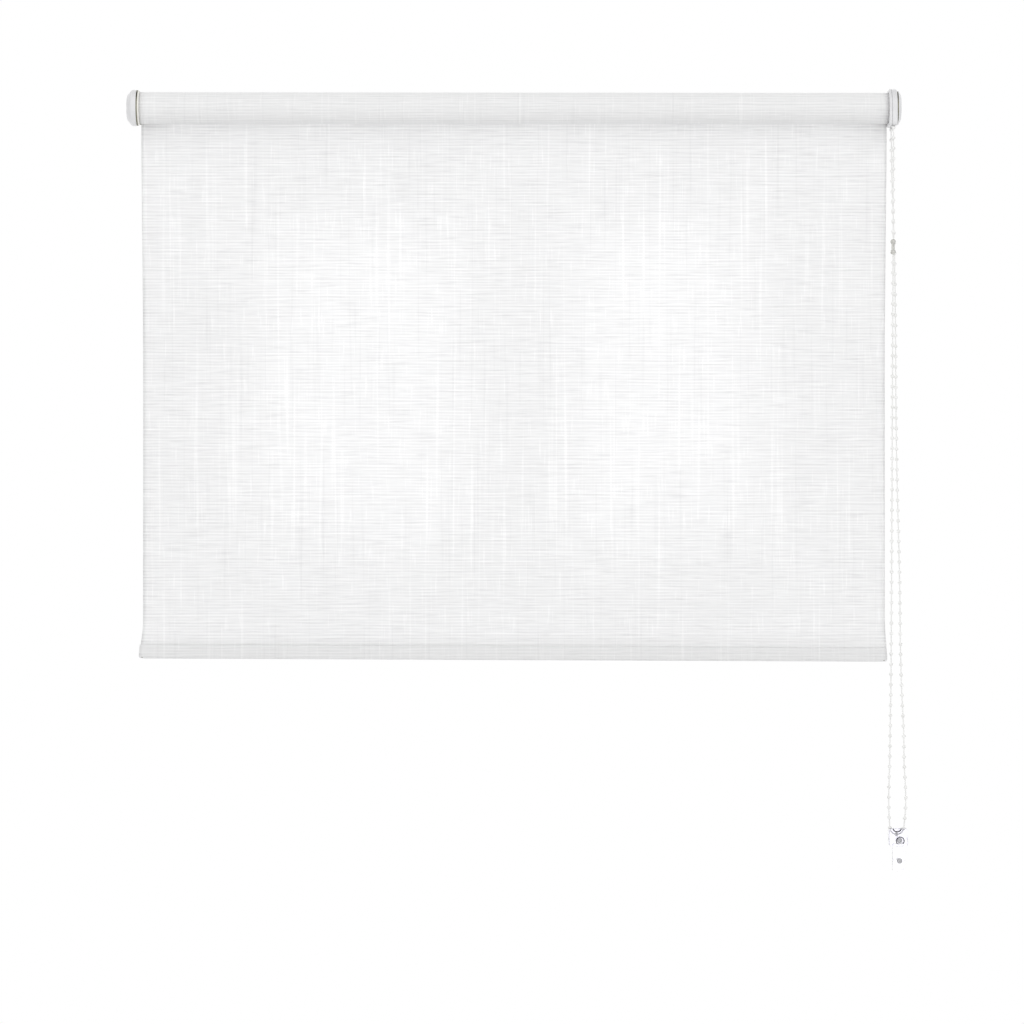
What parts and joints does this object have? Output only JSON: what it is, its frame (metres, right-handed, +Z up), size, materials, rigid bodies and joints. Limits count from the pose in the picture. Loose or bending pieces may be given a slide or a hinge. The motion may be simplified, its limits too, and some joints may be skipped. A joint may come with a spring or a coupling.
{
  "type": "roller blind",
  "caption": "Wall-mounted roller blind with a slub-weave cloth, round end caps, side bead-chain drive and a clear chain tensioner on the wall.",
  "frame": {"origin": "middle of the four bracket screws on the wall plane, level with the roller axis", "axes": "+Z up, +X along the roller towards the bead chain, +Y into the wall; the room is at -Y"},
  "size_m": [0.9094, 0.0868, 0.9108],
  "materials": {
    "slub_cloth": "translucent white slub weave, matt",
    "white_plastic": "moulded white, soft satin",
    "cream_plastic": "moulded cream white, satin",
    "grey_plastic": "glass-filled nylon, matt",
    "clear_plastic": "clear moulded polycarbonate",
    "bead_plastic": "small white moulded beads",
    "chain_cord": "thin white braided polyester cord",
    "zinc_steel": "zinc-plated sheet steel",
    "screw_steel": "bright zinc-plated",
    "pin_steel": "turned steel",
    "spring_steel": "hard drawn wire",
    "aluminium": "extruded, mill finish",
    "tape": "double-sided adhesive tape"
  },
  "bodies": {
    "frame": {"idle_bracket": "zinc_steel", "idle_cap": "white_plastic", "idle_ring": "cream_plastic", "control_bracket": "zinc_steel", "control_cap": "white_plastic", "bracket_screws": "screw_steel", "guard_inner": "white_plastic", "guard_outer": "white_plastic", "clutch_core": "grey_plastic", "clutch_springs": "spring_steel", "clutch_screw": "screw_steel", "fabric_sheet": "slub_cloth", "tensioner_base": "clear_plastic", "tensioner_cover": "clear_plastic", "tensioner_screws": "screw_steel", "chain_cord": "chain_cord", "chain_beads": "bead_plastic", "chain_on_wheel": "bead_plastic"},
    "roller": {"roller_tube": "aluminium", "fabric_tape": "tape", "fabric_roll": "slub_cloth", "idle_plug": "grey_plastic", "idle_bush": "cream_plastic", "drive_hub": "grey_plastic"},
    "wheel": {"chain_wheel": "white_plastic"},
    "hem": {"hem_pocket": "slub_cloth", "bottom_bar": "zinc_steel", "bar_cap_left": "white_plastic", "bar_cap_right": "white_plastic"},
    "connector": {"chain_connector": "clear_plastic"},
    "pin": {"idle_pin": "pin_steel", "idle_spring": "spring_steel"}
  },
  "joints": [
    {"name": "roller_spin", "type": "hinge", "parent": "frame", "child": "roller", "pos_m": [0, -0.04, 0], "axis": [1, 0, 0], "range_deg": [-495.5, 1890.5]},
    {"name": "wheel_spin", "type": "hinge", "parent": "frame", "child": "wheel", "pos_m": [0.4397, -0.04, 0], "axis": [1, 0, 0], "range_deg": [-495.5, 1890.5], "deforming": ["chain_on_wheel"]},
    {"name": "hem_travel", "type": "slide", "parent": "frame", "child": "hem", "axis": [0, 0, 1], "range_m": [-0.1576, 0.602], "deforming": ["fabric_sheet"]},
    {"name": "connector_run", "type": "slide", "parent": "frame", "child": "connector", "axis": [0.001, 0.0589, -0.9983], "range_m": [-0.1322, 0.5042], "deforming": ["chain_cord", "chain_beads"]},
    {"name": "idle_pin_push", "type": "slide", "parent": "frame", "child": "pin", "axis": [1, 0, 0], "range_m": [0, 0.006], "stiffness_N_per_m": 800, "springref_m": -0.004, "deforming": ["idle_spring"]}
  ],
  "couplings": [
    {"joint": "roller_spin", "follows": "hem_travel", "rad_per_m": 54.795},
    {"joint": "wheel_spin", "follows": "hem_travel", "rad_per_m": 54.795},
    {"joint": "connector_run", "follows": "hem_travel", "ratio": 0.8372}
  ]
}
